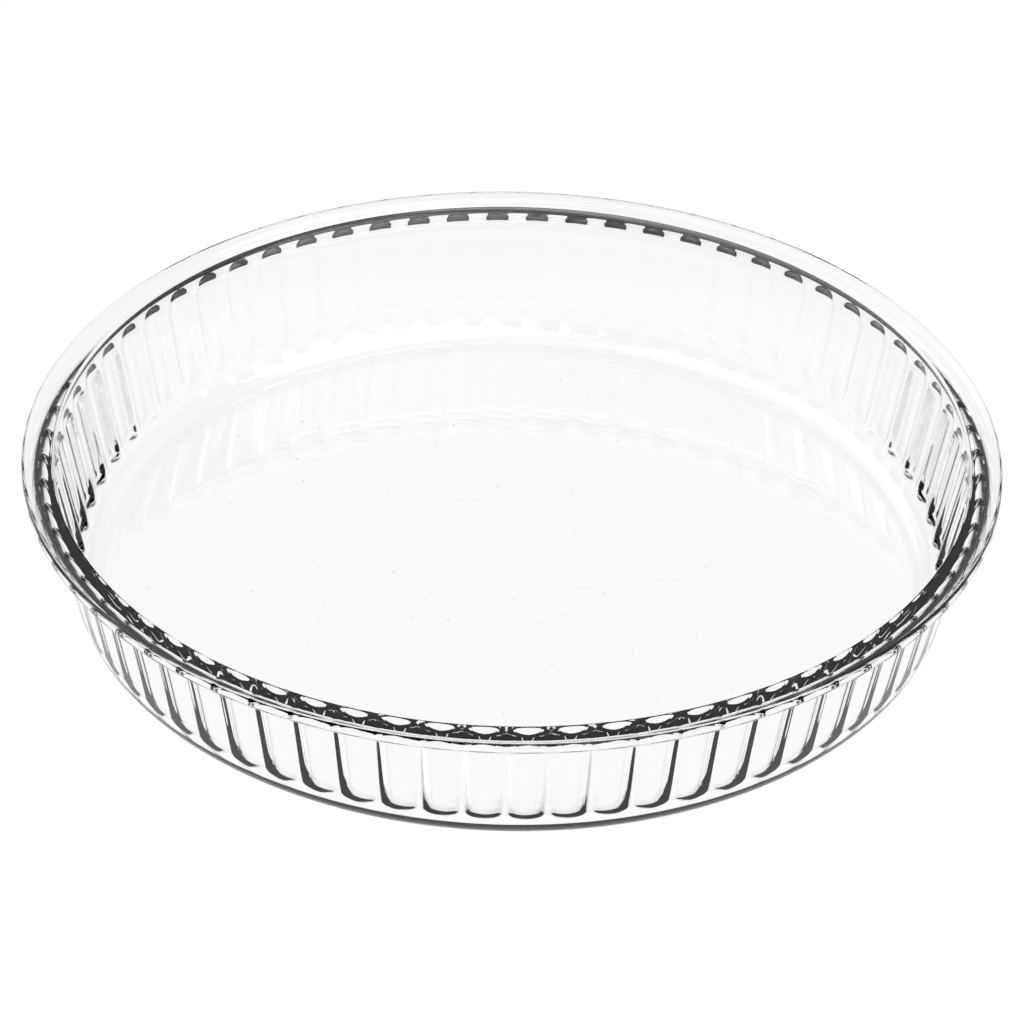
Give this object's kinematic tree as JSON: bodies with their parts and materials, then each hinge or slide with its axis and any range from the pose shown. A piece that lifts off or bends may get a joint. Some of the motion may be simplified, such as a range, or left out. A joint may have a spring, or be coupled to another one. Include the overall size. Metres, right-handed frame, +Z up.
{
  "type": "pie dish",
  "caption": "Round clear glass pie dish with a flat rim, a fluted inner wall, a plain outside and a flat base.",
  "frame": {"origin": "centre of the flat base, on the surface that the dish stands on", "axes": "+Z up along the dish's axis, out of its mouth; X and Y level, each through a ridge between two flutes"},
  "size_m": [0.32, 0.32, 0.05],
  "materials": {
    "clear_glass": "fire-polished clear pressed glass"
  },
  "bodies": {
    "root": {"dish": "clear_glass"}
  },
  "joints": []
}
